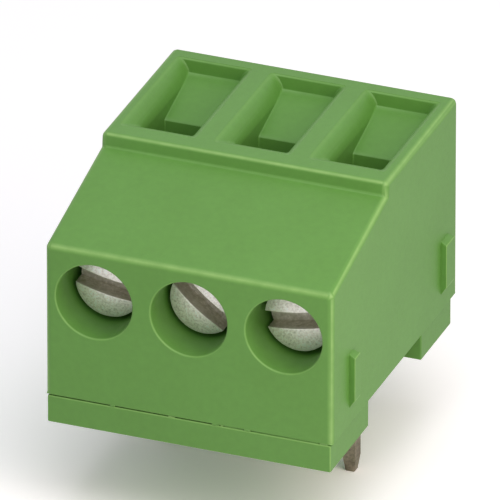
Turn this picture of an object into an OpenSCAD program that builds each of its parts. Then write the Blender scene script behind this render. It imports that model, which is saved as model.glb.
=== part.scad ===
// Three-pole screw terminal for a printed circuit board.
// Wires enter from above, the clamping screws face forwards and the solder pins point down.
// X runs along the row of poles, Y from the front face to the back, Z up from the board.
// The origin is the centre of the pin row on the board's surface.

/* [Poles] */
// Distance from one pole to the next
pitch = 5.08; // [5.08:0.01:5.3]
// Width that the housing adds beyond the poles' pitch at each end
end_margin = 0.08; // [0.05:0.01:0.3]

/* [Housing] */
// Depth from the front face to the back face
housing_d = 17.6; // [17.4:0.1:20]
// Height of the flat top above the board
housing_h = 12.62; // [12.5:0.02:14]
// Height of the front face's top edge
front_h = 10.02; // [9.8:0.02:10.7]
// Height where the sloping roof meets the upright band
slope_top_h = 11.89; // [11.6:0.01:12]
// Distance from the front face to the foot of the upright band
band_d = 7.6; // [7:0.1:7.8]
// How far the upright band leans back
band_lean = 0.08; // [0:0.01:0.15]
// Radius of the long moulded edges
edge_r = 0.42; // [0.1:0.02:0.5]
// Radius of the four upright corners
corner_r = 0.35; // [0.1:0.05:0.5]
// Thickness of the outer walls round the bottom opening
skirt_t = 0.75; // [0.6:0.05:0.8]
// Wall left around the moulding cores
core_wall = 0.9; // [0.7:0.05:1.1]

/* [Wire funnels] */
// Width of each funnel at its rim
funnel_w = 3.9; // [3.5:0.02:4]
// Thickness of the wall between the band and the funnels, at the rim
funnel_front_t = 1.07; // [0.8:0.01:1.2]
// Thickness of the back wall at the rim
funnel_back_t = 1.25; // [0.8:0.05:1.5]
// Height of the slopes that lead from the rim to the wire slot, in front and at the sides
funnel_lip_h = 0.64; // [0.4:0.02:0.8]
// Height of the upright back wall above the ramp
funnel_back_h = 0.58; // [0.4:0.02:0.8]
// Height of the ramp's lower edge above the board
ramp_h = 10.87; // [10.6:0.01:11.2]
// Distance from the wire slot's back wall to the ramp's lower edge
ramp_lead = 0.2; // [0.1:0.02:0.4]
// Side clearance from the wire slot to the sleeve's window
wire_inset = 0.05; // [0.02:0.01:0.1]

/* [Clamping screws] */
// Height of the screw axis above the board
screw_h = 7.22; // [7.17:0.01:7.35]
// Diameter of the screw head
head_d = 3.56; // [3.3:0.02:3.6]
// Height of the head's straight side
head_h = 1.6; // [1.3:0.05:1.8]
// Height of the head's dome
dome_h = 0.25; // [0.15:0.05:0.4]
// Depth of the head's rim below the front face
head_recess = 2.05; // [1.6:0.05:2.4]
// Width of the driver slot
slot_w = 0.9; // [0.6:0.05:1]
// Depth of the driver slot below the dome's crown
slot_depth = 1.05; // [0.8:0.05:1.2]
// Outer diameter of the screw thread
thread_d = 2.6; // [2.5:0.02:2.7]
// Travel of the clamp for one turn of the screw
thread_pitch = 0.45; // [0.4:0.01:0.5]
// Turns from fully open to fully clamped
clamp_turns = 5; // [4:0.25:5]
// Radial clearance of the access bore round the head
access_gap = 0.26; // [0.2:0.02:0.4]
// Bevel at the access bore's mouth
access_bevel = 0.11; // [0.05:0.01:0.2]
// Wall that the screw head bears on
seat_t = 1.2; // [1:0.05:1.4]

/* [Tension sleeves] */
// Height of the sleeve
sleeve_h = 4.3; // [4:0.05:4.4]
// Thickness of the sleeve's threaded wall
nut_t = 1.4; // [1.2:0.05:1.6]
// Depth of the sleeve's window
window_d = 4.3; // [4:0.05:4.5]
// Width of the sleeve's window
window_w = 2.6; // [2.5:0.02:2.7]
// Thickness of the sleeve's side walls
sleeve_side_t = 0.58; // [0.5:0.01:0.6]
// Thickness of the sleeve's clamping wall
sleeve_back_t = 0.8; // [0.6:0.05:0.9]
// Outer corner radius of the sleeve
sleeve_r = 0.35; // [0.1:0.05:0.5]

/* [Contact bars] */
// Thickness of the contact bar
bar_t = 0.8; // [0.7:0.01:0.9]
// Side clearance from the bar's tongue to the sleeve's window
bar_gap = 0.16; // [0.1:0.01:0.3]
// Width across the bar's wings
wing_w = 4.5; // [4.3:0.05:4.6]
// Height of the wings
wing_h = 1.5; // [1:0.05:1.8]
// Width of the solder pin
pin_w = 0.7; // [0.6:0.01:0.9]
// Length of the solder pin below the board's surface
pin_len = 5.1; // [3:0.1:5.5]
// Length of the pin's tapered end
pin_taper = 0.8; // [0.5:0.1:1.5]
// Width of the pin's end
pin_tip_w = 0.5; // [0.3:0.05:0.6]

/* [Base plate] */
// Height of the feet
foot_h = 1.57; // [1.4:0.01:1.7]
// Depth of the front foot
front_foot_d = 5.35; // [4.8:0.05:6]
// Depth of the rear foot
rear_foot_d = 4.25; // [3.5:0.05:4.5]
// Distance that the rear foot stands in from the back face
rear_foot_inset = 0.55; // [0.2:0.05:1]
// Distance that the feet stand in from the housing's sides
foot_side_inset = 0.1; // [0.05:0.01:0.3]
// Open seam between the feet and the housing
seam = 0.06; // [0.03:0.01:0.12]
// Thickness of the plate inside the housing
plate_t = 0.95; // [0.8:0.05:1]

/* [Joining ribs] */
// Distance that the ribs stand out from the right side
rib_out = 0.33; // [0.2:0.01:0.4]
// Width of a rib's outer face
rib_w = 0.8; // [0.7:0.05:1.1]
// Width of the rear rib's outer face
rear_rib_w = 1.2; // [1:0.05:1.8]
// Distance from the front face to the front rib's middle
front_rib_y = 2.7; // [2:0.05:3.2]
// Distance from the front face to the rear rib's middle
rear_rib_y = 15.85; // [15:0.05:16.2]
// Height of the ribs' top ends above the board
rib_top_h = 5.55; // [4.5:0.05:6]
// Height where the ribs reach their full depth
rib_full_h = 3; // [2.8:0.05:3.4]
// Height of the ribs' lower ends
rib_foot_h = 2.5; // [2.3:0.05:2.8]
// Undercut on each flank of a rib
rib_undercut = 0.08; // [0:0.01:0.1]

/* [Clearances] */
// Clearance between the screw head and its seat, and at the sleeve's ends
end_gap = 0.15; // [0.1:0.01:0.25]
// Radial clearance of the screw in its bores
screw_gap = 0.04; // [0.02:0.01:0.1]
// Clearance between the sleeve and the walls of its chamber
slide_gap = 0.12; // [0.08:0.01:0.15]
// Clearance round pieces that are pushed into place
fit_gap = 0.06; // [0.03:0.01:0.1]
// Distance from the screw's tip and the threaded wall to the contact bar
tip_gap = 0.2; // [0.15:0.01:0.3]
// Clearance of the joining grooves round a neighbour's ribs
groove_gap = 0.07; // [0.03:0.01:0.1]

/* [Hidden] */
$fn = 96;
ARC_STEPS = 6;
poles = 3;
over = 1;                       // how far a cut runs past the face it opens
slot_angles = [-10, -39, 10];   // how each driver slot was left, seen from the front

// Along the depth, each place counts from the front face
seat_y = head_recess + head_h + end_gap;
chamber_y = seat_y + seat_t;
travel = thread_pitch * clamp_turns;
sleeve_y = chamber_y + end_gap + travel;
nut_back_y = sleeve_y + nut_t;
window_back_y = nut_back_y + window_d;
sleeve_back_y = window_back_y + sleeve_back_t;
chamber_back_y = sleeve_back_y + end_gap;
bar_y = nut_back_y + 2 * tip_gap;
bar_back_y = bar_y + bar_t;
pin_y = bar_y + bar_t / 2;
tip_y = bar_y - tip_gap;
rim_front_y = band_d + band_lean + funnel_front_t;
rim_back_y = housing_d - funnel_back_t;
hole_front_y = bar_back_y + fit_gap;
hole_back_y = window_back_y - wire_inset;
ramp_y = hole_back_y + ramp_lead;

// Widths
housing_w = poles * pitch + 2 * end_margin;
head_r = head_d / 2;
thread_r = thread_d / 2;
access_r = head_r + access_gap;
sleeve_w = window_w + 2 * sleeve_side_t;
chamber_w = sleeve_w + 2 * slide_gap;
hole_w = window_w - 2 * wire_inset;
tongue_w = window_w - 2 * bar_gap;

// Heights
sleeve_bottom = screw_h - sleeve_h / 2;
sleeve_top = screw_h + sleeve_h / 2;
ceiling = sleeve_top + slide_gap;
plate_top = foot_h + plate_t;
floor_h = plate_top + fit_gap;
wing_top = floor_h + wing_h;
lip_h = housing_h - funnel_lip_h;    // where the slopes reach the wire slot
bar_top = ceiling - fit_gap;

function pole_x(i) = (i - (poles + 1) / 2) * pitch;
function unit(v) = v / norm(v);

// Points of the arc that rounds corner b of the path a, b, c
function corner_arc(a, b, c, r) =
    r <= 0 ? [b] :
    let (
        to_a = unit(a - b),
        to_c = unit(c - b),
        half = acos(to_a * to_c) / 2,
        centre = b + unit(to_a + to_c) * r / sin(half),
        start = b + to_a * r / tan(half) - centre,
        from = atan2(start.y, start.x),
        turn = sign(cross(b - a, c - b)) * (180 - 2 * half)
    )
    [for (s = [0 : ARC_STEPS])
        let (angle = from + turn * s / ARC_STEPS)
        centre + r * [cos(angle), sin(angle)]];

// A closed outline, each of whose corners [x, y, r] is rounded by r
function rounded(corners) =
    let (n = len(corners))
    [for (i = [0 : n - 1])
        let (
            a = corners[(i + n - 1) % n],
            b = corners[i],
            c = corners[(i + 1) % n]
        )
        each corner_arc([a.x, a.y], [b.x, b.y], [c.x, c.y], b.z)];

// Everything below is drawn from the front face backwards, then set on the pin row
module on_pin_row() {
    translate([0, -pin_y, 0]) children();
}

module at_pole(i) {
    translate([pole_x(i), 0, 0]) children();
}

// A side view, with Y and Z as its axes, made w wide about the middle
module side_extrude(w) {
    rotate([90, 0, 90]) linear_extrude(w, center = true) children();
}

// A front view, with X and Z as its axes, reaching from y0 to y1
module front_extrude(y0, y1) {
    translate([0, y1, 0]) rotate([90, 0, 0]) linear_extrude(y1 - y0) children();
}

// A box w wide about the middle, from y0 to y1 and from z0 to z1
module block(w, y0, y1, z0, z1) {
    translate([-w / 2, y0, z0]) cube([w, y1 - y0, z1 - z0]);
}

// A round bar or bore along the screw axis from y0 to y1
module along_axis(y0, y1, r0, r1) {
    translate([0, y0, screw_h]) rotate([-90, 0, 0]) cylinder(h = y1 - y0, r1 = r0, r2 = r1);
}

module housing_block() {
    side = rounded([
        [0, foot_h, 0],
        [0, front_h, edge_r],
        [band_d, slope_top_h, edge_r / 2],
        [band_d + band_lean, housing_h, edge_r / 2],
        [housing_d, housing_h, edge_r],
        [housing_d, foot_h, 0]
    ]);
    plan = rounded([
        [-housing_w / 2, 0, corner_r],
        [housing_w / 2, 0, corner_r],
        [housing_w / 2, housing_d, corner_r],
        [-housing_w / 2, housing_d, corner_r]
    ]);
    front = rounded([
        [-housing_w / 2, 0, 0],
        [housing_w / 2, 0, 0],
        [housing_w / 2, housing_h, edge_r],
        [-housing_w / 2, housing_h, edge_r]
    ]);
    intersection() {
        side_extrude(housing_w) polygon(side);
        linear_extrude(housing_h) polygon(plan);
        front_extrude(0, housing_d) polygon(front);
    }
}

// The wire's way in: slopes from the rim to a straight slot, and a ramp in the slot's back
module wire_funnel() {
    high = housing_h + over;
    low = ceiling - over;
    ramp_top = housing_h - funnel_back_h;
    side = [
        [rim_front_y, high],
        [rim_front_y, housing_h],
        [hole_front_y, lip_h],
        [hole_front_y, low],
        [hole_back_y, low],
        [hole_back_y, ceiling],
        [ramp_y, ramp_h],
        [rim_back_y, ramp_top],
        [rim_back_y, high]
    ];
    half = [
        [hole_w / 2, low],
        [hole_w / 2, lip_h],
        [funnel_w / 2, housing_h],
        [funnel_w / 2, high]
    ];
    mirrored = [for (k = [len(half) - 1 : -1 : 0]) [-half[k].x, half[k].y]];
    intersection() {
        side_extrude(funnel_w + over) polygon(side);
        front_extrude(rim_front_y - over, rim_back_y + over) polygon(concat(half, mirrored));
    }
}

// The screw's way in: the access bore, its bevelled mouth and the hole in the seat wall
module screw_way() {
    along_axis(-over, seat_y, access_r, access_r);
    along_axis(-access_bevel, access_bevel, access_r + 2 * access_bevel, access_r);
    along_axis(seat_y - over, chamber_y + over, thread_r + 2 * screw_gap, thread_r + 2 * screw_gap);
}

// The room for the sleeve and the contact bar, and the cores that keep the walls even
module chamber() {
    low = floor_h - over;
    block(chamber_w, chamber_y, chamber_back_y, low, ceiling);
    block(wing_w + 2 * fit_gap, bar_y - fit_gap, bar_back_y + fit_gap, low, wing_top + fit_gap);
    core_w = pitch - 2 * core_wall;
    block(core_w, core_wall, chamber_y - core_wall, low, screw_h - access_r - core_wall);
    block(core_w, chamber_back_y + core_wall, housing_d - core_wall, low, ramp_h - core_wall);
}

// One rib, on a wall that faces +X, with its root sunk in that wall.
// extra widens it into the groove that takes a neighbour's rib.
module joining_rib(w, extra) {
    root = skirt_t / 2;
    out = rib_out + extra;
    wide = w / 2 + extra;
    narrow = wide - rib_undercut;
    top = rib_top_h + extra;
    intersection() {
        linear_extrude(housing_h)
            polygon([[-root, -narrow], [0, -narrow], [out, -wide], [out, wide], [0, narrow], [-root, narrow]]);
        rotate([90, 0, 0]) linear_extrude(w + over, center = true)
            polygon([
                [-root, rib_foot_h - extra], [0, rib_foot_h - extra], [out, rib_full_h - extra],
                [out, top - out / 2], [0, top], [-root, top]
            ]);
    }
}

module joining_ribs(extra) {
    translate([0, front_rib_y, 0]) joining_rib(rib_w, extra);
    translate([0, rear_rib_y, 0]) joining_rib(rear_rib_w, extra);
}

module housing() {
    color("forestgreen") on_pin_row() {
        difference() {
            housing_block();
            for (i = [1 : poles]) at_pole(i) {
                wire_funnel();
                screw_way();
                chamber();
            }
            block(housing_w - 2 * skirt_t, skirt_t, housing_d - skirt_t, foot_h - over, floor_h);
            translate([-housing_w / 2, 0, 0]) joining_ribs(groove_gap);
        }
        translate([housing_w / 2, 0, 0]) joining_ribs(0);
    }
}

module base_plate() {
    foot_w = housing_w - 2 * foot_side_inset;
    foot_top = foot_h - seam;
    rear_y = housing_d - rear_foot_inset;
    inset = skirt_t + fit_gap;
    color("green") on_pin_row() difference() {
        union() {
            block(foot_w, 0, front_foot_d, 0, foot_top);
            block(foot_w, rear_y - rear_foot_d, rear_y, 0, foot_top);
            block(housing_w - 2 * inset, inset, housing_d - inset, foot_top, plate_top);
        }
        for (i = [1 : poles]) at_pole(i)
            block(pin_w + 2 * fit_gap, bar_y - fit_gap, bar_back_y + fit_gap, -over, plate_top + over);
    }
}

module clamp_screw(i) {
    crown_y = head_recess - dome_h;
    dome_r = (head_r * head_r + dome_h * dome_h) / (2 * dome_h);
    head_back_y = head_recess + head_h;
    point = thread_r / 3;
    color("silver") on_pin_row() at_pole(i) {
        difference() {
            intersection() {
                along_axis(crown_y - over, head_back_y, head_r, head_r);
                translate([0, crown_y + dome_r, screw_h]) sphere(dome_r);
            }
            translate([0, 0, screw_h]) rotate([0, -slot_angles[i - 1], 0])
                translate([-head_d, crown_y - over, -slot_w / 2])
                    cube([2 * head_d, over + slot_depth, slot_w]);
        }
        along_axis(head_back_y - end_gap, tip_y - point, thread_r, thread_r);
        along_axis(tip_y - point, tip_y, thread_r, thread_r - point);
    }
}

module tension_sleeve(i) {
    ridges = 4;
    ridge_step = sleeve_h / (ridges + 1);
    ridge = sleeve_back_t / 5;
    color("gainsboro") on_pin_row() at_pole(i) difference() {
        translate([0, 0, sleeve_bottom]) linear_extrude(sleeve_h) difference() {
            polygon(rounded([
                [-sleeve_w / 2, sleeve_y, sleeve_r],
                [sleeve_w / 2, sleeve_y, sleeve_r],
                [sleeve_w / 2, sleeve_back_y, sleeve_r],
                [-sleeve_w / 2, sleeve_back_y, sleeve_r]
            ]));
            translate([-window_w / 2, nut_back_y]) square([window_w, window_d]);
        }
        along_axis(sleeve_y - over, nut_back_y + over, thread_r + screw_gap, thread_r + screw_gap);
        for (k = [1 : ridges])
            translate([0, window_back_y, sleeve_bottom + k * ridge_step]) rotate([45, 0, 0])
                cube([window_w, ridge * sqrt(2), ridge * sqrt(2)], center = true);
    }
}

module contact_bar(i) {
    half = [
        [pin_tip_w / 2, -pin_len],
        [pin_w / 2, pin_taper - pin_len],
        [pin_w / 2, floor_h],
        [wing_w / 2, floor_h],
        [wing_w / 2, wing_top],
        [tongue_w / 2, wing_top],
        [tongue_w / 2, bar_top]
    ];
    mirrored = [for (k = [len(half) - 1 : -1 : 0]) [-half[k].x, half[k].y]];
    color("lightsteelblue") on_pin_row() at_pole(i) intersection() {
        front_extrude(bar_y, bar_back_y) polygon(concat(half, mirrored));
        // the pin narrows towards its end seen from the side as well
        side_extrude(wing_w) polygon([
            [pin_y - pin_tip_w / 2, -pin_len],
            [pin_y + pin_tip_w / 2, -pin_len],
            [bar_back_y, pin_taper - pin_len],
            [bar_back_y, bar_top],
            [bar_y, bar_top],
            [bar_y, pin_taper - pin_len]
        ]);
    }
}

housing();
base_plate();
clamp_screw(1);  // clamp_screw_1
clamp_screw(2);  // clamp_screw_2
clamp_screw(3);  // clamp_screw_3
tension_sleeve(1);  // tension_sleeve_1
tension_sleeve(2);  // tension_sleeve_2
tension_sleeve(3);  // tension_sleeve_3
contact_bar(1);  // contact_bar_1
contact_bar(2);  // contact_bar_2
contact_bar(3);  // contact_bar_3
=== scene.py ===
import math

import bmesh
import bpy
from mathutils import Matrix, Vector


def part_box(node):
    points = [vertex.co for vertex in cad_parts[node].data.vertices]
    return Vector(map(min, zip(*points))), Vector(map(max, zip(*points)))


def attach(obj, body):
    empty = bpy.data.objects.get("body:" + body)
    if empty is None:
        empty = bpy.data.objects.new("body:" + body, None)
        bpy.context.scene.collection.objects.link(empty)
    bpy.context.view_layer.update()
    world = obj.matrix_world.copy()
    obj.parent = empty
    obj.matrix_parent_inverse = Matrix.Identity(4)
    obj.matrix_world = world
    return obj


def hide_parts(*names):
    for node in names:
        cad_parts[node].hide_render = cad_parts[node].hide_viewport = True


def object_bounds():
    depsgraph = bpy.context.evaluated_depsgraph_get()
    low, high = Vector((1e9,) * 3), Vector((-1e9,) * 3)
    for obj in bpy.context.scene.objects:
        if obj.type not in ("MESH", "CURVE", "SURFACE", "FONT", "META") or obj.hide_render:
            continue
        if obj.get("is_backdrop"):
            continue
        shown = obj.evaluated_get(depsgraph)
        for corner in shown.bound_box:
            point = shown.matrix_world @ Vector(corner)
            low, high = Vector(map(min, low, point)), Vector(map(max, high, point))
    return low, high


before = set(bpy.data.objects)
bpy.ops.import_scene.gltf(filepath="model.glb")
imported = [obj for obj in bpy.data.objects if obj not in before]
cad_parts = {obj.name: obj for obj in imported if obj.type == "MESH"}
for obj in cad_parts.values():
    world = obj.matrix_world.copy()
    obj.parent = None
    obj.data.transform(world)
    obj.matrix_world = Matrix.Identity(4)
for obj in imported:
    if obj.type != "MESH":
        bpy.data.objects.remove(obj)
cadLow, cadHigh = (list(corner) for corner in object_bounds())
scene = bpy.context.scene
mm = 0.001
poles = (1, 2, 3)
weld = {"solid": 1e-7, "piece": 0.0004 * mm}    # vertices closer than this are one
hair = 0.01    # millimetres within which two places count as one
print("frame loaded")


def newObject(name, bm):
    # puts a finished bmesh into the scene as an object that sits at the origin
    mesh = bpy.data.meshes.new(name)
    bm.to_mesh(mesh)
    bm.free()
    piece = bpy.data.objects.new(name, mesh)
    scene.collection.objects.link(piece)
    return piece


def slab(bm, low, high):
    # a box between two corners, given in millimetres
    low, high = Vector(low) * mm, Vector(high) * mm
    made = bmesh.ops.create_cube(bm, size=1.0)["verts"]
    bmesh.ops.scale(bm, vec=high - low, verts=made)
    bmesh.ops.translate(bm, vec=(low + high) / 2, verts=made)
    return made


def addSolid(bm, build, *values):
    # builds one closed solid on its own, turns its faces outwards and adds it
    one = bmesh.new()
    build(one, *values)
    bmesh.ops.remove_doubles(one, verts=one.verts, dist=weld["solid"])
    bmesh.ops.recalc_face_normals(one, faces=one.faces)
    if one.calc_volume(signed=True) < 0:
        bmesh.ops.reverse_faces(one, faces=one.faces)
    holder = bpy.data.meshes.new("solid")
    one.to_mesh(holder)
    one.free()
    bm.from_mesh(holder)
    bpy.data.meshes.remove(holder)


def prism(bm, corners, way):
    # a flat outline in millimetres, pushed out along way
    flat = bm.faces.new([bm.verts.new(Vector(c) * mm) for c in corners])
    grown = bmesh.ops.extrude_face_region(bm, geom=[flat])["geom"]
    tips = [g for g in grown if isinstance(g, bmesh.types.BMVert)]
    bmesh.ops.translate(bm, vec=Vector(way) * mm, verts=tips)
    return list(flat.verts) + tips


def edgePlace(e):
    # a key that puts edges in the same order in every run
    return tuple(e.verts[0].co + e.verts[1].co)


def edgesOf(verts, test):
    # edges between these vertices whose middle, in millimetres, passes the test
    inside, found = set(verts), set()
    for v in verts:
        for e in v.link_edges:
            if e.other_vert(v) in inside:
                if test((e.verts[0].co + e.verts[1].co) / 2 / mm):
                    found.add(e)
    return sorted(found, key=edgePlace)


def roundEdges(bm, edges, radius, segments):
    bmesh.ops.bevel(
        bm, geom=edges, offset=radius * mm, offset_type="OFFSET", segments=segments,
        profile=0.5, affect="EDGES", material=-1, clamp_overlap=True)


def turned(bm, points, centre, rounds, steps):
    # spins an outline of (radius, depth) points round a Y axis through centre
    # each of rounds is (number of a point, radius of its rounding, segments)
    verts = [bm.verts.new(Vector((centre[0] + r, y, centre[1])) * mm) for r, y in points]
    for a, b in zip(verts, verts[1:]):
        bm.edges.new((a, b))
    wire = set(verts)
    for index, radius, segments in rounds:
        made = bmesh.ops.bevel(
            bm, geom=[verts[index]], offset=radius * mm, offset_type="OFFSET", segments=segments,
            profile=0.5, affect="VERTICES", material=-1)
        wire |= set(made["verts"])
    wire = [v for v in wire if v.is_valid]
    edges = sorted({e for v in wire for e in v.link_edges}, key=edgePlace)
    bmesh.ops.spin(
        bm, geom=wire + edges, cent=Vector((centre[0], 0, centre[1])) * mm, axis=(0, 1, 0),
        angle=math.tau, steps=steps, use_merge=True, use_duplicate=False)
    bmesh.ops.remove_doubles(bm, verts=bm.verts, dist=weld["solid"])
    bmesh.ops.recalc_face_normals(bm, faces=bm.faces)


def cutWith(piece, cutter, operation="DIFFERENCE"):
    # takes the cutter out of the piece, or adds it, and removes the cutter
    tool = piece.modifiers.new("cut", "BOOLEAN")
    tool.object = cutter
    tool.operation = operation
    tool.solver = "EXACT"
    bakeModifiers(piece)
    bpy.data.objects.remove(cutter)


def bakeModifiers(piece):
    graph = bpy.context.evaluated_depsgraph_get()
    graph.update()
    baked = bpy.data.meshes.new_from_object(piece.evaluated_get(graph))
    piece.modifiers.clear()
    old, piece.data = piece.data, baked
    baked.name = piece.name
    bpy.data.meshes.remove(old)


def tidyMesh(piece, flat):
    # merges doubles and joins faces that lie within flat degrees of one plane
    bm = bmesh.new()
    bm.from_mesh(piece.data)
    bmesh.ops.remove_doubles(bm, verts=bm.verts, dist=weld["piece"])
    bmesh.ops.dissolve_limit(bm, angle_limit=math.radians(flat), verts=bm.verts, edges=bm.edges,
                             delimit={"MATERIAL"})
    bmesh.ops.recalc_face_normals(bm, faces=bm.faces)
    bm.to_mesh(piece.data)
    bm.free()


def softShade(piece, angle=32):
    mesh = piece.data
    for face in mesh.polygons:
        face.use_smooth = True
    mesh.set_sharp_from_angle(angle=math.radians(angle))
    weighted = piece.modifiers.new("even normals", "WEIGHTED_NORMAL")
    weighted.keep_sharp = True
    weighted.weight = 50


def roundSharp(piece, width, segments, angle=40):
    bevel = piece.modifiers.new("soft edges", "BEVEL")
    bevel.width = width * mm
    bevel.segments = segments
    bevel.limit_method = "ANGLE"
    bevel.angle_limit = math.radians(angle)
    bevel.use_clamp_overlap = True
    bevel.harden_normals = False
    bakeModifiers(piece)


# how the painted highlight lies across a rounding, in shares of its radius from the flat beside it
highlightBand = {"from": -0.1, "to": 0.9, "rise": 0.2, "fall": 0.35, "gone": 0.8}


def paintEdgeHighlights(piece, planes, strength=lambda place: 1.0):
    # a painted highlight mask, kept as edge: strength along the crown of each rounding beside these planes, 0
    # on the flats
    # a plane is (point, normal, radius), where radius may be a function of the place
    band = highlightBand
    mask = piece.data.attributes.new("edge", "FLOAT", "POINT")
    for vert in piece.data.vertices:
        place, crown = vert.co / mm, None
        for point, normal, radius in planes:
            depth = (point - place).dot(normal) / (radius(place) if callable(radius) else radius)
            if band["from"] < depth < band["to"]:
                here = max(0.0, min(depth / band["rise"], 1.0, (band["gone"] - depth) / band["fall"]))
                crown = here if crown is None else min(crown, here)
        mask.data[vert.index].value = (crown or 0.0) * strength(place)


def copyNode(node, name):
    # a merged copy of a CAD node's loose triangles
    piece = bpy.data.objects.new(name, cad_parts[node].data.copy())
    piece.data.materials.clear()
    scene.collection.objects.link(piece)
    tidyMesh(piece, flat=0.6)
    return piece


def addNode(tree, kind, at, **values):
    node = tree.nodes.new(kind)
    node.location = at
    for key, value in values.items():
        setattr(node, key, value)
    return node


def newGroup(name, inputs, outputs):
    group = bpy.data.node_groups.new(name, "ShaderNodeTree")
    for label, kind, value in inputs:
        socket = group.interface.new_socket(name=label, in_out="INPUT", socket_type=kind)
        socket.default_value = value
    for label, kind in outputs:
        group.interface.new_socket(name=label, in_out="OUTPUT", socket_type=kind)
    return group


def noiseAt(group, coordinates, scale, detail, at):
    # scale counts features along a metre
    noise = addNode(group, "ShaderNodeTexNoise", at)
    noise.inputs["Detail"].default_value = detail
    group.links.new(coordinates, noise.inputs["Vector"])
    if isinstance(scale, (int, float)):
        noise.inputs["Scale"].default_value = scale
    else:
        group.links.new(scale, noise.inputs["Scale"])
    return noise.outputs["Fac"]


def mathNode(group, operation, a, b, at, clamp=False):
    node = addNode(group, "ShaderNodeMath", at, operation=operation, use_clamp=clamp)
    for socket, value in zip(node.inputs, (a, b)):
        if isinstance(value, (int, float)):
            socket.default_value = value
        else:
            group.links.new(value, socket)
    return node.outputs[0]


def mixColour(group, factor, a, b, at):
    node = addNode(group, "ShaderNodeMix", at, data_type="RGBA")
    for socket, value in ((node.inputs[0], factor), (node.inputs[6], a), (node.inputs[7], b)):
        if isinstance(value, bpy.types.NodeSocket):
            group.links.new(value, socket)
        else:
            socket.default_value = value
    return node.outputs[2]


mouldedPattern = {
    "cloudScale": 260.0, "cloudContrast": 2.2,
    "speckScale": 2600.0, "speckDarkest": 0.92, "speckShade": 0.16, "speckRelief": 0.6,
    "grainRough": 0.16,
}


def mouldedGroup():
    # moulded plastic: cloudy colour, darker and lighter specks and a fine grain
    pattern = mouldedPattern
    group = newGroup("moulded grain", [
        ("Color", "NodeSocketColor", (0.2, 0.4, 0.1, 1)),
        ("Cloud Color", "NodeSocketColor", (0.25, 0.45, 0.15, 1)),
        ("Cloudiness", "NodeSocketFloat", 0.4),
        ("Roughness", "NodeSocketFloat", 0.45),
        ("Grain Scale", "NodeSocketFloat", 9000.0),
    ], [("Color", "NodeSocketColor"), ("Roughness", "NodeSocketFloat"), ("Height", "NodeSocketFloat")])
    start = addNode(group, "NodeGroupInput", (-900, 0))
    place = addNode(group, "ShaderNodeTexCoord", (-900, -300)).outputs["Object"]
    grain = noiseAt(group, place, start.outputs["Grain Scale"], 3.0, (-650, -100))
    cloud = noiseAt(group, place, pattern["cloudScale"], 4.0, (-650, -300))
    speck = noiseAt(group, place, pattern["speckScale"], 2.0, (-650, -500))
    cloudMask = mathNode(group, "SUBTRACT", cloud, 0.5, (-430, -300))
    cloudMask = mathNode(group, "MULTIPLY_ADD", cloudMask, pattern["cloudContrast"], (-260, -300))
    cloudMask.node.inputs[2].default_value = 0.5
    cloudMask = mathNode(group, "MULTIPLY", cloudMask, start.outputs["Cloudiness"], (-90, -300), True)
    colour = mixColour(group, cloudMask, start.outputs["Color"], start.outputs["Cloud Color"], (120, 100))
    speckShade = mathNode(group, "MULTIPLY_ADD", speck, pattern["speckShade"], (-260, -500))
    speckShade.node.inputs[2].default_value = pattern["speckDarkest"]
    shade = addNode(group, "ShaderNodeVectorMath", (320, 100), operation="SCALE")
    group.links.new(colour, shade.inputs[0])
    group.links.new(speckShade, shade.inputs["Scale"])
    rough = mathNode(group, "MULTIPLY_ADD", grain, pattern["grainRough"], (120, -120))
    group.links.new(start.outputs["Roughness"], rough.node.inputs[2])
    height = mathNode(group, "MULTIPLY", speck, pattern["speckRelief"], (120, -420))
    height = mathNode(group, "ADD", grain, height, (320, -300))
    end = addNode(group, "NodeGroupOutput", (560, 0))
    group.links.new(shade.outputs[0], end.inputs["Color"])
    group.links.new(rough, end.inputs["Roughness"])
    group.links.new(height, end.inputs["Height"])
    return group


platedPattern = {
    "cloudScale": 900.0, "stainFrom": 0.42, "stainContrast": 3.4, "stainRough": 0.12,
    "speckle": 5.0, "pitRough": 0.2,
}


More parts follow.
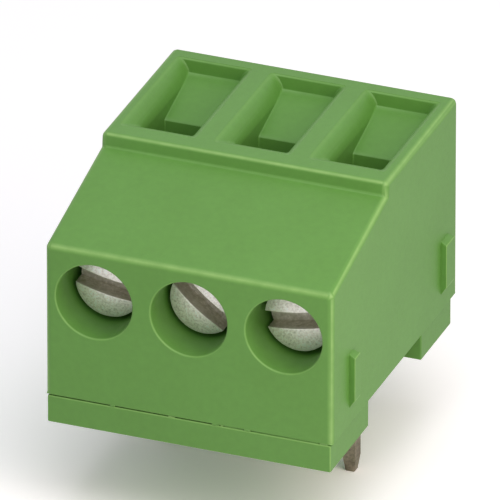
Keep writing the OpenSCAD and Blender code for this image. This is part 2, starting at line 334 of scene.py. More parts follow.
def metalGroup():
    # plated metal: stained colour, and tiny pits that speckle it
    pattern = platedPattern
    group = newGroup("plated metal", [
        ("Color", "NodeSocketColor", (0.7, 0.7, 0.7, 1)),
        ("Stain Color", "NodeSocketColor", (0.4, 0.4, 0.35, 1)),
        ("Stain", "NodeSocketFloat", 0.4),
        ("Roughness", "NodeSocketFloat", 0.35),
        ("Pit Scale", "NodeSocketFloat", 7000.0),
        ("Speckle", "NodeSocketFloat", 0.3),
    ], [("Color", "NodeSocketColor"), ("Roughness", "NodeSocketFloat"), ("Height", "NodeSocketFloat")])
    start = addNode(group, "NodeGroupInput", (-900, 0))
    place = addNode(group, "ShaderNodeTexCoord", (-900, -300)).outputs["Object"]
    pits = noiseAt(group, place, start.outputs["Pit Scale"], 4.0, (-650, -100))
    cloud = noiseAt(group, place, pattern["cloudScale"], 5.0, (-650, -300))
    stain = mathNode(group, "SUBTRACT", cloud, pattern["stainFrom"], (-430, -300))
    stain = mathNode(group, "MULTIPLY", stain, pattern["stainContrast"], (-260, -300), True)
    stain = mathNode(group, "MULTIPLY", stain, start.outputs["Stain"], (-90, -300), True)
    colour = mixColour(group, stain, start.outputs["Color"], start.outputs["Stain Color"], (120, 100))
    # pits darken the colour and grains lighten it
    grain = mathNode(group, "SUBTRACT", pits, 0.5, (-430, 120))
    grain = mathNode(group, "MULTIPLY", grain, start.outputs["Speckle"], (-260, 120))
    grain = mathNode(group, "MULTIPLY_ADD", grain, pattern["speckle"], (-90, 120))
    grain.node.inputs[2].default_value = 1.0
    shade = addNode(group, "ShaderNodeVectorMath", (320, 100), operation="SCALE")
    group.links.new(colour, shade.inputs[0])
    group.links.new(grain, shade.inputs["Scale"])
    rough = mathNode(group, "MULTIPLY_ADD", pits, pattern["pitRough"], (120, -120))
    group.links.new(start.outputs["Roughness"], rough.node.inputs[2])
    dull = mathNode(group, "MULTIPLY", stain, pattern["stainRough"], (120, -240))
    rough = mathNode(group, "ADD", rough, dull, (320, -120))
    end = addNode(group, "NodeGroupOutput", (560, 0))
    group.links.new(shade.outputs[0], end.inputs["Color"])
    group.links.new(rough, end.inputs["Roughness"])
    group.links.new(pits, end.inputs["Height"])
    return group


patchPattern = {"gapFrom": 0.35, "gapContrast": 2.6, "narrowing": 1.2}


def patchGroup():
    # lays a second colour where a mask says so, broken up by a fine noise: painted highlights on edges and
    # rims, and painted shade with some dirt in the screw slots
    group = newGroup("worn patch", [
        ("Color", "NodeSocketColor", (0.5, 0.5, 0.5, 1)),
        ("Patch Color", "NodeSocketColor", (0.8, 0.8, 0.8, 1)),
        ("Mask", "NodeSocketFloat", 0.0),
        ("Amount", "NodeSocketFloat", 0.5),
        ("Break-up", "NodeSocketFloat", 0.5),
        ("Break-up Scale", "NodeSocketFloat", 1500.0),
    ], [("Color", "NodeSocketColor")])
    start = addNode(group, "NodeGroupInput", (-900, 0))
    place = addNode(group, "ShaderNodeTexCoord", (-900, -300)).outputs["Object"]
    noise = noiseAt(group, place, start.outputs["Break-up Scale"], 3.0, (-700, -300))
    hole = mathNode(group, "SUBTRACT", noise, patchPattern["gapFrom"], (-500, -300))
    hole = mathNode(group, "MULTIPLY", hole, patchPattern["gapContrast"], (-340, -300), True)
    hole = mathNode(group, "SUBTRACT", 1.0, hole, (-180, -300))
    hole = mathNode(group, "MULTIPLY", hole, start.outputs["Break-up"], (-20, -300))
    kept = mathNode(group, "SUBTRACT", 1.0, hole, (140, -300))
    narrow = mathNode(group, "POWER", start.outputs["Mask"], patchPattern["narrowing"], (-500, -100))
    mask = mathNode(group, "MULTIPLY", narrow, start.outputs["Amount"], (140, -100))
    mask = mathNode(group, "MULTIPLY", mask, kept, (300, -200), True)
    colour = mixColour(group, mask, start.outputs["Color"], start.outputs["Patch Color"], (480, 100))
    end = addNode(group, "NodeGroupOutput", (680, 0))
    group.links.new(colour, end.inputs["Color"])
    return group


def finishFrom(name, group, values, bump, plain, patches):
    # one material: the group drives colour, roughness and relief, and plain values sit on the shader
    material = bpy.data.materials.new(name)
    material.use_nodes = True
    tree = material.node_tree
    shader = tree.nodes["Principled BSDF"]
    made = addNode(tree, "ShaderNodeGroup", (-500, 100), node_tree=group)
    for key, value in values.items():
        made.inputs[key].default_value = value
    relief = addNode(tree, "ShaderNodeBump", (-250, -200))
    relief.inputs["Strength"].default_value = bump[0]
    relief.inputs["Distance"].default_value = bump[1] * mm
    colour = made.outputs["Color"]
    for n, (attribute, patchValues) in enumerate(patches):
        patch = addNode(tree, "ShaderNodeGroup", (-260, 350 + 260 * n), node_tree=highlightShadeAndDirt)
        painted = addNode(tree, "ShaderNodeAttribute", (-500, 350 + 260 * n), attribute_name=attribute)
        tree.links.new(painted.outputs["Fac"], patch.inputs["Mask"])
        tree.links.new(colour, patch.inputs["Color"])
        for key, value in patchValues.items():
            patch.inputs[key].default_value = value
        colour = patch.outputs["Color"]
    tree.links.new(colour, shader.inputs["Base Color"])
    tree.links.new(made.outputs["Roughness"], shader.inputs["Roughness"])
    tree.links.new(made.outputs["Height"], relief.inputs["Height"])
    tree.links.new(relief.outputs["Normal"], shader.inputs["Normal"])
    for key, value in plain.items():
        shader.inputs[key].default_value = value
    return material


plasticFinish = {
    "color": (0.098, 0.256, 0.040, 1),
    "cloudColor": (0.108, 0.278, 0.048, 1),
    "cloudiness": 0.8,
    "roughness": 0.42,
    "grainScale": 11000.0,
    "bump": (0.25, 0.012),
    "plain": {"Metallic": 0.0, "IOR": 1.5, "Specular IOR Level": 0.5},
    # the edge patch is a painted highlight: paler, yellower plastic along the crowns of the rounded edges
    "patches": [("edge", {"Patch Color": (0.275, 0.480, 0.145, 1), "Amount": 0.85, "Break-up": 0.35})],
    "housingTint": 1.0,
    # the base plate's tint is a little darker than the housing's: painted shade of the feet below the housing
    "baseShadedTint": 0.97,
}
screwFinish = {
    "color": (1.0, 0.94, 0.91, 1), "stainColor": (0.74, 0.72, 0.63, 1), "stain": 0.6, "roughness": 0.34,
    "bump": (0.6, 0.03), "pitScale": 9000.0, "metallic": 0.68,
    "patches": [
        # painted shade, with some dirt, that darkens the inside of the slot
        ("slot", {
            "Patch Color": (0.46, 0.42, 0.32, 1), "Amount": 0.95, "Break-up": 0.5, "Break-up Scale": 3500.0}),
        # painted highlight on the rim and the lips of the slot
        ("edge", {
            "Patch Color": (0.92, 0.89, 0.85, 1), "Amount": 0.9, "Break-up": 0.3, "Break-up Scale": 5000.0}),
    ],
}
sleeveFinish = {
    "color": (0.62, 0.62, 0.62, 1), "stainColor": (0.42, 0.42, 0.40, 1), "stain": 0.4, "roughness": 0.25,
    "bump": (0.2, 0.01), "pitScale": 7000.0, "metallic": 1.0, "patches": [],
}
# the bar is dark brown with a near-black stain: painted shade, as the pin stands in shade under the block
shadedBarFinish = {
    "color": (0.33, 0.285, 0.22, 1), "stainColor": (0.085, 0.065, 0.045, 1), "stain": 1.0, "roughness": 0.40,
    "bump": (0.5, 0.02), "pitScale": 9000.0, "metallic": 1.0, "patches": [],
}
metalSpeckle = 0.26

moulded, plated, highlightShadeAndDirt = mouldedGroup(), metalGroup(), patchGroup()


def plasticMaterial(name, tint):
    look = plasticFinish
    colour, cloud = ([c * tint for c in look[key][:3]] + [1] for key in ("color", "cloudColor"))
    return finishFrom(name, moulded, {
        "Color": colour, "Cloud Color": cloud, "Cloudiness": look["cloudiness"],
        "Roughness": look["roughness"], "Grain Scale": look["grainScale"],
    }, look["bump"], look["plain"], look["patches"])


def metalMaterial(name, look):
    return finishFrom(name, plated, {
        "Color": look["color"], "Stain Color": look["stainColor"], "Stain": look["stain"],
        "Roughness": look["roughness"], "Pit Scale": look["pitScale"], "Speckle": metalSpeckle,
    }, look["bump"], {"Metallic": look["metallic"]}, look["patches"])


housingPlastic = plasticMaterial("housing polyamide", plasticFinish["housingTint"])
basePlastic = plasticMaterial("base polyamide", plasticFinish["baseShadedTint"])
screwSteel = metalMaterial("zinc plated screw", screwFinish)
sleeveSteel = metalMaterial("zinc plated sleeve", sleeveFinish)
tinnedBrass = metalMaterial("tinned bar", shadedBarFinish)
print("materials ready")


housingShape = {
    "edge": 0.33, "bandFoot": 0.12, "bandEdge": 0.2, "backEdge": 0.14, "rearCorner": 0.25, "bottomEdge": 0.05,
    "edgeSteps": 6,
    "slopeFoot": 10.02, "slopeTop": 11.89, "bandDepth": 7.6, "bandLean": 0.08,
    "funnelWide": 3.9, "funnelFront": 8.75, "funnelBack": 16.68, "backLean": 0.08, "lip": 0.64,
    "backWall": 0.78, "sideStart": 0.1, "sideTuck": 0.06, "sideSpread": 0.7,
    "holeWide": 2.5, "holeFront": 10.06, "holeBack": 13.05, "rampY": 13.25, "rampZ": 10.87,
    "ceiling": 9.49, "rimRound": 0.12, "sideRound": 0.26, "wallSoft": 0.08, "sideSoft": 0.34, "corner": 0.04,
    "slotWide": 2.74, "narrowAt": 10.3,
    "boreRadius": 2.04, "mouthRound": 0.12, "mouthReach": 1.5, "seat": 3.8, "screwHole": 1.38,
    "boreSteps": 96,
    "chamberFront": 5.0, "chamberBack": 14.05, "chamberWide": 4.0,
    "skirt": 0.75, "floor": 2.58, "wingTop": 4.14, "wingWide": 4.62, "wingFront": 9.14, "wingBack": 10.06,
    "core": 0.9,
}
# how far each cutter stands out past what it cuts
overcut = {
    "skirt": 1.0, "bore": 1.0, "mouth": 0.002, "screwHole": 0.5, "core": 0.5, "chamber": 0.4, "funnel": 0.5,
}
# the heights at which a funnel's cutter has its rings
funnelRings = {
    "lowest": 8.3, "closest": 0.008, "cornerSteps": 3, "sideSteps": 5,
    "flareAngles": (0, 20, 40, 58, 74, 86),
}
farAbove = 20    # a height above everything, where the walls' paths end
ribShapes = {
    "places": ((2.7, 0.8), (15.85, 1.2)),       # distance from the front face, and width
    "out": 0.33, "top": 5.55, "full": 3.0, "foot": 2.5, "undercut": 0.08, "grooveGap": 0.07, "soft": 0.05,
}

housingLow, housingHigh = (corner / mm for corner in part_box("housing"))
half = -housingLow.x                       # half the width without the ribs
front, back = housingLow.y, housingHigh.y
bottom, top = housingLow.z, housingHigh.z
poleX, screwZ = [], 0.0
for i in poles:
    low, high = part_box(f"clamp_screw_{i}")
    poleX.append((low.x + high.x) / 2 / mm)
    screwZ = (low.z + high.z) / 2 / mm


def housingBlock():
    shape = housingShape
    bm = bmesh.new()
    side = [
        (front, bottom), (front, shape["slopeFoot"]),
        (front + shape["bandDepth"], shape["slopeTop"]),
        (front + shape["bandDepth"] + shape["bandLean"], top),
        (back, top), (back, bottom),
    ]
    prism(bm, [(-half, y, z) for y, z in side], (2 * half, 0, 0))
    bmesh.ops.recalc_face_normals(bm, faces=bm.faces)
    weight = bm.edges.layers.float.new("bevel_weight_edge")
    for e in bm.edges:
        middle = (e.verts[0].co + e.verts[1].co) / 2 / mm
        across = abs(e.verts[0].co.x - e.verts[1].co.x) > mm
        if abs(middle.z - bottom) < hair:
            e[weight] = shape["bottomEdge"] / shape["edge"]
        elif across and abs(middle.z - shape["slopeTop"]) < hair:
            e[weight] = shape["bandFoot"] / shape["edge"]
        elif across and middle.z > top - hair:
            radius = shape["backEdge"] if middle.y > back - hair else shape["bandEdge"]
            e[weight] = radius / shape["edge"]
        elif middle.y > back - hair:
            e[weight] = shape["rearCorner"] / shape["edge"]
        else:
            e[weight] = 1.0
    piece = newObject("housing", bm)
    rounding = piece.modifiers.new("rounded edges", "BEVEL")
    rounding.width = shape["edge"] * mm
    rounding.segments = shape["edgeSteps"]
    rounding.limit_method = "WEIGHT"
    bakeModifiers(piece)
    return piece


def along(path, z):
    # value at height z on a path of (height, value) points
    for (z0, a), (z1, b) in zip(path, path[1:]):
        if z <= z1:
            return a + (b - a) * max(0.0, z - z0) / (z1 - z0)
    return path[-1][1]


def softAlong(path, z, reach):
    # the same, averaged over the heights within reach, which softens the path's corners
    samples = 4
    values = [along(path, z + reach * k / samples) for k in range(-samples, samples + 1)]
    return sum(values) / len(values)


def flare(z, radius):
    # how far a rim rounded by radius has opened at height z
    rise = min(max(0.0, z - (top - radius)), radius)
    return radius - math.sqrt(radius * radius - rise * rise)


def funnelCutter(bm, x):
    # grows ring by ring from the wire hole up to the flared rim
    shape = housingShape
    rings = funnelRings
    rampTop, lip = top - shape["backWall"], top - shape["lip"]
    sideStart = lip - shape["sideStart"]
    frontWall = [
        (0, shape["holeFront"]), (lip, shape["holeFront"]),
        (top, shape["funnelFront"]), (farAbove, shape["funnelFront"]),
    ]
    backWall = [
        (0, shape["holeBack"]), (shape["ceiling"], shape["holeBack"]), (shape["rampZ"], shape["rampY"]),
        (rampTop, shape["funnelBack"]), (top, shape["funnelBack"] + shape["backLean"]),
        (farAbove, shape["funnelBack"] + shape["backLean"]),
    ]
    wideTop = shape["funnelWide"] / 2 - shape["sideTuck"]
    halfWide = [
        (0, shape["holeWide"] / 2), (shape["ceiling"], shape["holeWide"] / 2),
        (shape["narrowAt"], shape["slotWide"] / 2), (sideStart, shape["slotWide"] / 2), (top, wideTop),
        (top + 1, wideTop + shape["sideSpread"]), (farAbove, wideTop + shape["sideSpread"]),
    ]
    soft, rim, side = shape["wallSoft"], shape["rimRound"], shape["sideRound"]
    corners = [shape["ceiling"], shape["narrowAt"], shape["rampZ"], lip, rampTop]
    steps, sideSteps = rings["cornerSteps"], rings["sideSteps"]
    levels = {c + soft * k / steps for c in corners for k in range(-steps, steps + 1)}
    levels |= {sideStart + shape["sideSoft"] * k / sideSteps for k in range(-sideSteps, sideSteps + 1)}
    for radius in (rim, side):
        levels |= {top - radius + radius * math.sin(math.radians(a)) for a in rings["flareAngles"]}
    highest = top + overcut["funnel"]
    levels = sorted(z for z in levels | {rings["lowest"], highest} if z <= highest)
    levels = [z for n, z in enumerate(levels) if n == 0 or z - levels[n - 1] > rings["closest"]]
    before = set(bm.faces)
    made = bmesh.ops.create_grid(bm, x_segments=1, y_segments=1, size=0.5)["verts"]
    bmesh.ops.bevel(bm, geom=made, offset=shape["corner"], offset_type="OFFSET", segments=3, profile=0.5,
                    affect="VERTICES", material=-1)
    face = [f for f in bm.faces if f not in before][0]
    ring = list(face.verts)
    width, depth, centre = 1.0, 1.0, Vector((0, 0, 0))
    for n, z in enumerate(levels):
        near = softAlong(frontWall, z, soft) - flare(z, rim)
        far = softAlong(backWall, z, soft) + flare(z, rim)
        wide = 2 * (softAlong(halfWide, z, shape["sideSoft"]) + flare(z, side))
        if n:
            last = face
            grown = bmesh.ops.extrude_face_region(bm, geom=[last])["geom"]
            tips = {g for g in grown if isinstance(g, bmesh.types.BMVert)}
            face = next(g for g in grown if isinstance(g, bmesh.types.BMFace) and tips >= set(g.verts))
            if n > 1 and last.is_valid:
                bmesh.ops.delete(bm, geom=[last], context="FACES_ONLY")
            ring = list(face.verts)
        goal = Vector((x, front + (near + far) / 2, z)) * mm
        bmesh.ops.scale(bm, vec=(wide * mm / width, (far - near) * mm / depth, 1), verts=ring,
                        space=Matrix.Translation(-centre))
        bmesh.ops.translate(bm, vec=goal - centre, verts=ring)
        width, depth, centre = wide * mm, (far - near) * mm, goal


def ribShape(bm, x, middle, wide, extra):
    # a joining rib, or with extra the groove that takes one, on a wall that faces +X
    shape = ribShapes
    out, ribTop, foot = shape["out"] + extra, shape["top"] + extra, shape["foot"] - extra
    root = housingShape["skirt"] / 2
    side = [(x - root, foot), (x, foot), (x + out, shape["full"] - extra),
            (x + out, ribTop - out / 2), (x, ribTop), (x - root, ribTop)]
    verts = prism(bm, [(px, middle - wide / 2 - extra, pz) for px, pz in side], (0, wide + 2 * extra, 0))
    inner = [v for v in verts if v.co.x < (x + hair) * mm]
    bmesh.ops.scale(bm, vec=(1, 1 - 2 * shape["undercut"] / (wide + 2 * extra), 1), verts=inner,
                    space=Matrix.Translation(Vector((0, -middle * mm, 0))))
    if extra == 0:
        roundEdges(bm, edgesOf(verts, lambda middle: middle.x > x + hair), shape["soft"], 3)


def buildHousing():
    shape = housingShape
    piece = housingBlock()
    bm = bmesh.new()
    for x in poleX:
        addSolid(bm, funnelCutter, x)
    addSolid(
        bm, slab, (-half + shape["skirt"], front + shape["skirt"], bottom - overcut["skirt"]),
        (half - shape["skirt"], back - shape["skirt"], shape["floor"]))
    for middle, wide in ribShapes["places"]:
        addSolid(bm, ribShape, -half, front + middle, wide, ribShapes["grooveGap"])
    cutWith(piece, newObject("cutter", bm))

    bm = bmesh.new()
    radius, mouth, seat = shape["boreRadius"], shape["mouthRound"], front + shape["seat"]
    mouthRadius = radius + shape["mouthReach"] * mouth
    outside, mouthAt = front - overcut["bore"], front - overcut["mouth"]
    holeEnd = front + shape["chamberFront"] + overcut["screwHole"]
    core, coreFoot, wing = shape["core"], bottom - overcut["core"], shape["wingWide"] / 2
    coreWide = (poleX[1] - poleX[0]) / 2 - core
    for x in poleX:
        addSolid(bm, turned, [
            (0, outside), (mouthRadius, outside), (mouthRadius, mouthAt), (radius, mouthAt), (radius, seat),
            (shape["screwHole"], seat), (shape["screwHole"], holeEnd), (0, holeEnd),
        ], (x, screwZ), [(3, mouth, 5)], shape["boreSteps"])
        addSolid(
            bm, slab, (x - coreWide, front + core, coreFoot),
            (x + coreWide, front + shape["chamberFront"] - core, screwZ - radius - core))
        addSolid(
            bm, slab, (x - coreWide, front + shape["chamberBack"] + core, coreFoot),
            (x + coreWide, back - core, shape["rampZ"] - core))
        addSolid(
            bm, slab, (x - wing, front + shape["wingFront"], coreFoot),
            (x + wing, front + shape["wingBack"], shape["wingTop"]))
    cutWith(piece, newObject("cutter", bm))

    bm = bmesh.new()
    chamber = shape["chamberWide"] / 2
    for x in poleX:
        addSolid(
            bm, slab, (x - chamber, front + shape["chamberFront"], bottom - overcut["chamber"]),
            (x + chamber, front + shape["chamberBack"], shape["ceiling"]))
    cutWith(piece, newObject("cutter", bm))

    bm = bmesh.new()
    for middle, wide in ribShapes["places"]:
        addSolid(bm, ribShape, half, front + middle, wide, 0)
    cutWith(piece, newObject("ribs", bm), "UNION")
    tidyMesh(piece, flat=0.3)
    return piece


# bits of moulding flash in the seam above the foot: left, right, distance behind the front, height
seamFlash = [
    (-4.22, -3.98, 0.0, 0.10), (1.25, 1.62, 0.0, 0.09), (1.7, 1.85, 0.01, 0.07), (2.95, 3.3, 0.0, 0.11),
    (7.0, 7.45, 0.03, 0.13), (1.9, 2.9, 0.035, 0.05), (3.35, 6.95, 0.045, 0.045), (-1.1, -0.75, 0.02, 0.06),
]
flashShape = {"foot": 0.065, "hang": 0.06, "deep": 0.3, "lean": 0.35, "soft": 0.012}


def addFlash(piece):
    shape = flashShape
    bm = bmesh.new()
    bm.from_mesh(piece.data)
    for n, (left, right, inset, tall) in enumerate(seamFlash):
        made = slab(
            bm, (left, front + inset, bottom - shape["foot"]),
            (right, front + shape["deep"], bottom - shape["hang"] + tall))
        # one end of each bit is lower, by turns the left one and the right one
        upper = [v for v in made if v.co.z > (bottom - shape["hang"]) * mm]
        lower = [v for v in upper if (v.co.x > (left + right) / 2 * mm) == bool(n % 2)]
        bmesh.ops.translate(bm, vec=Vector((0, 0, -tall * shape["lean"])) * mm, verts=lower)
        cut = sorted({e for v in made for e in v.link_edges}, key=edgePlace)
        roundEdges(bm, cut, shape["soft"], 1)
    bm.to_mesh(piece.data)
    bm.free()


def dress(piece, name, body, slotName, material, *nodes):
    piece.name = piece.data.name = name
    piece.data.materials.clear()
    piece.data.materials.append(material)
    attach(piece, body)
    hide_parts(*nodes)


housing = buildHousing()
addFlash(housing)
slopeRise = housingShape["slopeFoot"] - housingShape["slopeTop"]
slopeWay = Vector((0, slopeRise, housingShape["bandDepth"])).normalized()

# how far the painted highlights on the edges reach, and how bright they are at the funnels and the mouths of
# the bores
housingHighlights = {
    "edge": 0.36, "band": 0.2, "crest": 1.2, "besideBottom": 0.045, "besideBack": 0.4, "besideEnd": 0.3,
    "aroundMouth": 0.3, "behindFront": 0.2,
    "funnelStart": 0.6, "funnelEnd": 0.5, "funnelDeep": 1.0, "funnelSide": 0.35,
    "funnelAmount": 0.25, "mouthAmount": 0.55,
}


def atMouth(place):
    away = min(Vector((place.x - x, place.z - screwZ)).length for x in poleX)
    return away < housingShape["boreRadius"] + housingHighlights["aroundMouth"]


def sideRadius(place):
    if place.z < bottom + housingHighlights["besideBottom"]:
        return housingShape["bottomEdge"]
    return housingHighlights["edge"]


def frontRadius(place):
    # the mouths of the bores are sharper than the outer edges
    return housingShape["mouthRound"] if atMouth(place) else sideRadius(place)


def inFunnel(place):
    shape, paintReach = housingShape, housingHighlights
    funnelStart = front + shape["bandDepth"] + paintReach["funnelStart"]
    if not funnelStart < place.y < back - paintReach["funnelEnd"] or place.z <= top - paintReach["funnelDeep"]:
        return False
    return min(abs(place.x - x) for x in poleX) < shape["funnelWide"] / 2 + paintReach["funnelSide"]


def topRadius(place):
    # so are the rims of the funnels and the edges along the back and the band
    if inFunnel(place):
        return housingShape["rimRound"]
    if place.y > back - housingHighlights["besideBack"]:
        return housingShape["backEdge"]
    return housingHighlights["band"] if abs(place.x) < half - housingHighlights["besideEnd"] else housingHighlights["edge"]


def highlightStrength(place):
    # the painted highlight is fainter on the rims of the funnels and the mouths of the bores than on the
    # outer edges
    if inFunnel(place):
        return housingHighlights["funnelAmount"]
    if place.y < front + housingHighlights["behindFront"] and atMouth(place):
        return housingHighlights["mouthAmount"]
    return 1.0


walls = [
    (Vector((0, front, 0)), Vector((0, -1, 0)), frontRadius),
    (Vector((0, back, 0)), Vector((0, 1, 0)), sideRadius),
    (Vector((half, 0, 0)), Vector((1, 0, 0)), sideRadius),
    (Vector((-half, 0, 0)), Vector((-1, 0, 0)), sideRadius),
]
otherFlats = [
    (Vector((0, 0, top)), Vector((0, 0, 1)), topRadius),
    (Vector((0, front, housingShape["slopeFoot"])), slopeWay, housingHighlights["edge"]),
    (Vector((half + ribShapes["out"], 0, 0)), Vector((1, 0, 0)), ribShapes["soft"] * housingHighlights["crest"]),
    (Vector((0, 0, bottom)), Vector((0, 0, -1)), housingShape["bottomEdge"]),
]
# painted highlight along the crowns of the housing's rounded edges, kept in the edge attribute
paintEdgeHighlights(housing, walls + otherFlats, highlightStrength)
softShade(housing)
dress(housing, "housing_shell", "terminal", "housing_green", housingPlastic, "housing")
print("housing built:", len(housing.data.polygons), "faces")


baseShape = {"edge": 0.08, "edgeSteps": 4}
base = copyNode("base_plate", "base")
roundSharp(base, baseShape["edge"], baseShape["edgeSteps"])
# painted highlight along the crowns of the base plate's rounded edges
baseFlats = [(point, way, baseShape["edge"]) for point, way, _ in walls]
paintEdgeHighlights(base, baseFlats + [(Vector((0, 0, 0)), Vector((0, 0, -1)), baseShape["edge"])])
softShade(base)
dress(base, "base_feet", "terminal", "base_green", basePlastic, "base_plate")
print("base plate built")


screwShape = {
    "domeHeight": 0.25, "headHeight": 1.6, "rimRound": 0.12, "backRound": 0.08, "around": 72,
    "domeRound": 0.96, "domeSteps": 10, "rimSteps": 4, "backSteps": 2,
    "slotWide": 0.9, "slotDeep": 1.05, "slotAngles": (-10, -39, 10), "edge": 0.03, "edgeSteps": 2,
    "edgeAngle": 50, "shadeAngle": 38,
    "rootRadius": 1.06, "threadRadius": 1.3, "pitch": 0.45, "stepsPerTurn": 28,
    "threadStart": 0.1,    # how far the thread begins inside the head
    "sunk": 0.05,          # and how deep its foot sits in the shank
    # the outline of one tooth: which radius, and place along the pitch
    "tooth": (("sunk", 0.0), ("sunk", 0.9), ("root", 0.85), ("crest", 0.5), ("crest", 0.38), ("root", 0.05)),
}
# how far past the slot, its lips and the rim their masks reach: painted shade, with some dirt, in the slot,
# and painted highlight on the lips and the rim
screwPaintReach = {"floor": 0.02, "wall": 0.003, "inside": 0.002, "lip": 0.01, "rim": 0.09, "rimDeep": 0.06}


def buildScrew(i):
    shape = screwShape
    low, high = (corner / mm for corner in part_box(f"clamp_screw_{i}"))
    x, z, radius = (low.x + high.x) / 2, (low.z + high.z) / 2, (high.x - low.x) / 2
    crown, tip = low.y, high.y
    rim = crown + shape["domeHeight"]
    headBack = rim + shape["headHeight"]
    domeRadius = (radius ** 2 + shape["domeHeight"] ** 2) / (2 * shape["domeHeight"])
    reach = domeRadius * math.tan(math.asin(radius / domeRadius) / 2)
    bm = bmesh.new()
    root, point = shape["rootRadius"], shape["threadRadius"] / 3
    turned(bm, [
        (0, crown), (reach, crown), (radius, rim), (radius, headBack), (root, headBack),
        (root, tip - point), (root - point, tip), (0, tip),
    ], (x, z), [
        (1, reach * shape["domeRound"], shape["domeSteps"]), (2, shape["rimRound"], shape["rimSteps"]),
        (3, shape["backRound"], shape["backSteps"]),
    ], shape["around"])
    head = newObject("screw", bm)
    bm = bmesh.new()
    halfSlot = shape["slotWide"] / 2
    made = slab(bm, (-2 * radius, -1, -halfSlot), (2 * radius, shape["slotDeep"], halfSlot))
    turn = Matrix.Rotation(math.radians(shape["slotAngles"][i - 1]) * -1, 3, "Y")
    bmesh.ops.rotate(bm, cent=(0, 0, 0), matrix=turn, verts=made)
    bmesh.ops.translate(bm, vec=Vector((x, crown, z)) * mm, verts=made)
    cutWith(head, newObject("slot", bm))
    tidyMesh(head, flat=0.3)
    roundSharp(head, shape["edge"], shape["edgeSteps"], shape["edgeAngle"])

    # masks: slot for painted shade, with some dirt, on the faces inside the slot, edge for a painted
    # highlight on the rim and the lips of the slot
    paintReach = screwPaintReach
    inSlot = head.data.attributes.new("slot", "FLOAT", "FACE")
    across = turn @ Vector((0, 0, 1))
    for face in head.data.polygons:
        place = face.center / mm - Vector((x, crown, z))
        between = abs(place.dot(across)) < halfSlot + paintReach["wall"]
        deep = between and place.y < shape["slotDeep"] + paintReach["floor"]
        inSlot.data[face.index].value = 1.0 if deep and place.xz.length < radius - paintReach["inside"] else 0.0
    edge = head.data.attributes.new("edge", "FLOAT", "POINT")
    for vert in head.data.vertices:
        place = vert.co / mm - Vector((x, crown, z))
        fromLip = abs(abs(place.dot(across)) - halfSlot)
        lip = fromLip < shape["edge"] + paintReach["lip"] and place.y < shape["domeHeight"] + paintReach["floor"]
        rimZone = place.xz.length > radius - paintReach["rim"] and place.y < shape["domeHeight"] + paintReach["rimDeep"]
        edge.data[vert.index].value = 1.0 if lip or rimZone else 0.0

    # the thread is one tooth swept along its helix
    pitch = shape["pitch"]
    turns = (tip - point - headBack) / pitch
    radii = {"sunk": root - shape["sunk"], "root": root, "crest": shape["threadRadius"]}
    threadStart = headBack - shape["threadStart"]
    bm = bmesh.new()
    bm.from_mesh(head.data)
    face = bm.faces.new([
        bm.verts.new(Vector((x + radii[kind], threadStart + pitch * share, z)) * mm)
        for kind, share in shape["tooth"]])
    steps = int(shape["stepsPerTurn"] * turns)
    before = set(bm.faces) - {face}
    bmesh.ops.spin(
        bm, geom=list(face.verts) + list(face.edges) + [face],
        cent=Vector((x, 0, z)) * mm, axis=(0, 1, 0),
        dvec=Vector((0, pitch * turns / steps, 0)) * mm, angle=math.tau * turns, steps=steps,
        use_merge=False, use_duplicate=False)
    bmesh.ops.recalc_face_normals(bm, faces=[f for f in bm.faces if f not in before])
    bm.to_mesh(head.data)
    bm.free()
    return head


metalShape = {"edge": 0.05, "edgeSteps": 2}    # the sleeves and the bars
for i in poles:
    screw = buildScrew(i)
    softShade(screw, screwShape["shadeAngle"])
    dress(screw, f"screw_{i}_head_and_thread", f"screw_{i}", "screw_steel", screwSteel, f"clamp_screw_{i}")
    sleeve = copyNode(f"tension_sleeve_{i}", "sleeve")
    roundSharp(sleeve, metalShape["edge"], metalShape["edgeSteps"])
    softShade(sleeve)
    dress(sleeve, f"sleeve_{i}_clamp", f"sleeve_{i}", "sleeve_steel", sleeveSteel, f"tension_sleeve_{i}")
    bar = copyNode(f"contact_bar_{i}", "bar")
    roundSharp(bar, metalShape["edge"], metalShape["edgeSteps"])
    softShade(bar)
    dress(bar, f"bar_{i}_and_pin", "terminal", "tinned_bar", tinnedBrass, f"contact_bar_{i}")
print("screws, sleeves and bars built")


studio = {
    "floorColor": (0.90, 0.90, 0.90, 1), "floorSeen": (1.22, 1.20, 1.24, 1), "floorSize": 1.2,
    "ambient": 0.50,
    "key": {
        "direction": (0.15, -0.25, 0.95), "distance": 0.30, "size": 0.22, "level": 0.44, "color": (1, 1, 1),
    },
    "rightFill": {
        "direction": (0.74, -0.46, 0.50), "distance": 0.065, "size": 0.045, "level": 0.48,
        "color": (1, 0.86, 0.74),
    },
}
# angles in degrees and the rest in millimetres: the view is width across, and its middle lies
# at point, moved by shift to the right and upwards as the camera sees them
cameraView = {
    "azimuth": 21.12, "elevation": 27.79, "width": 25.1218,
    "point": (0, -0.8, 6.37), "shift": (-0.1005, 0.4070),
    "lens": 1500.0, "sensor": 36.0, "clip": (10.0, 10000.0),
}


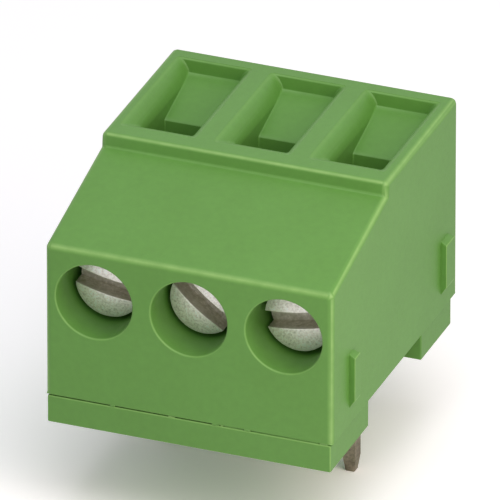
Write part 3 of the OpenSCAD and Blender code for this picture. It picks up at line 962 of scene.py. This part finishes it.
def buildFloor():
    bm = bmesh.new()
    made = bmesh.ops.create_grid(bm, x_segments=1, y_segments=1, size=studio["floorSize"])["verts"]
    bmesh.ops.translate(bm, vec=(0, 0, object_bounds()[0].z), verts=made)
    floor = newObject("floor", bm)
    material = bpy.data.materials.new("floor")
    material.use_nodes = True
    tree = material.node_tree
    shader = tree.nodes["Principled BSDF"]
    shader.inputs["Roughness"].default_value = 1.0
    shader.inputs["Specular IOR Level"].default_value = 0.0
    path = addNode(tree, "ShaderNodeLightPath", (-500, 0))
    # the camera sees a whiter floor than the one that lights the object
    seen = path.outputs["Is Camera Ray"]
    seen = mixColour(tree, seen, studio["floorColor"], studio["floorSeen"], (-250, 0))
    tree.links.new(seen, shader.inputs["Base Color"])
    floor.data.materials.append(material)
    floor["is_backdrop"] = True


def buildWorld():
    world = bpy.data.worlds.new("studio")
    scene.world = world
    world.use_nodes = True
    tree = world.node_tree
    shader = tree.nodes["Background"]
    shader.inputs["Color"].default_value = (1, 1, 1, 1)
    path = addNode(tree, "ShaderNodeLightPath", (-700, 0))
    seen = mathNode(tree, "MAXIMUM", path.outputs["Is Camera Ray"], path.outputs["Is Glossy Ray"], (-500, 0))
    seen = mathNode(tree, "MAXIMUM", seen, path.outputs["Is Transmission Ray"], (-300, 0))
    level = mathNode(tree, "MULTIPLY_ADD", seen, 1 - studio["ambient"], (-150, 0))
    level.node.inputs[2].default_value = studio["ambient"]
    tree.links.new(level, shader.inputs["Strength"])


def addLamp(name, lamp, target):
    # level is the brightness that the lamp alone gives a white surface facing it
    data = bpy.data.lights.new(name, "AREA")
    data.shape = "SQUARE"
    data.size = lamp["size"]
    data.energy = lamp["level"] * (math.pi * lamp["distance"]) ** 2
    data.color = lamp["color"]
    light = bpy.data.objects.new(name, data)
    way = Vector(lamp["direction"]).normalized()
    light.location = target + way * lamp["distance"]
    light.rotation_euler = way.to_track_quat("Z", "Y").to_euler()
    scene.collection.objects.link(light)


def addCamera():
    view = cameraView
    az, el = math.radians(view["azimuth"]), math.radians(view["elevation"])
    away = Vector((math.sin(az) * math.cos(el), -math.cos(az) * math.cos(el), math.sin(el)))
    right = Vector((math.cos(az), math.sin(az), 0))
    up = away.cross(right)
    aim = Vector(view["point"]) + right * view["shift"][0] + up * view["shift"][1]
    data = bpy.data.cameras.new("camera")
    data.sensor_width = view["sensor"]
    data.lens = view["lens"]
    distance = view["width"] * view["lens"] / view["sensor"]
    data.clip_start, data.clip_end = (far * mm for far in view["clip"])
    camera = bpy.data.objects.new("camera", data)
    camera.location = (aim + away * distance) * mm
    camera.rotation_euler = away.to_track_quat("Z", "Y").to_euler()
    scene.collection.objects.link(camera)
    scene.camera = camera


centre = (Vector(cadLow) + Vector(cadHigh)) / 2
buildFloor()
buildWorld()
addLamp("key", studio["key"], centre)
addLamp("right fill", studio["rightFill"], centre)
addCamera()
scene.view_settings.view_transform = "Standard"
print("studio ready")
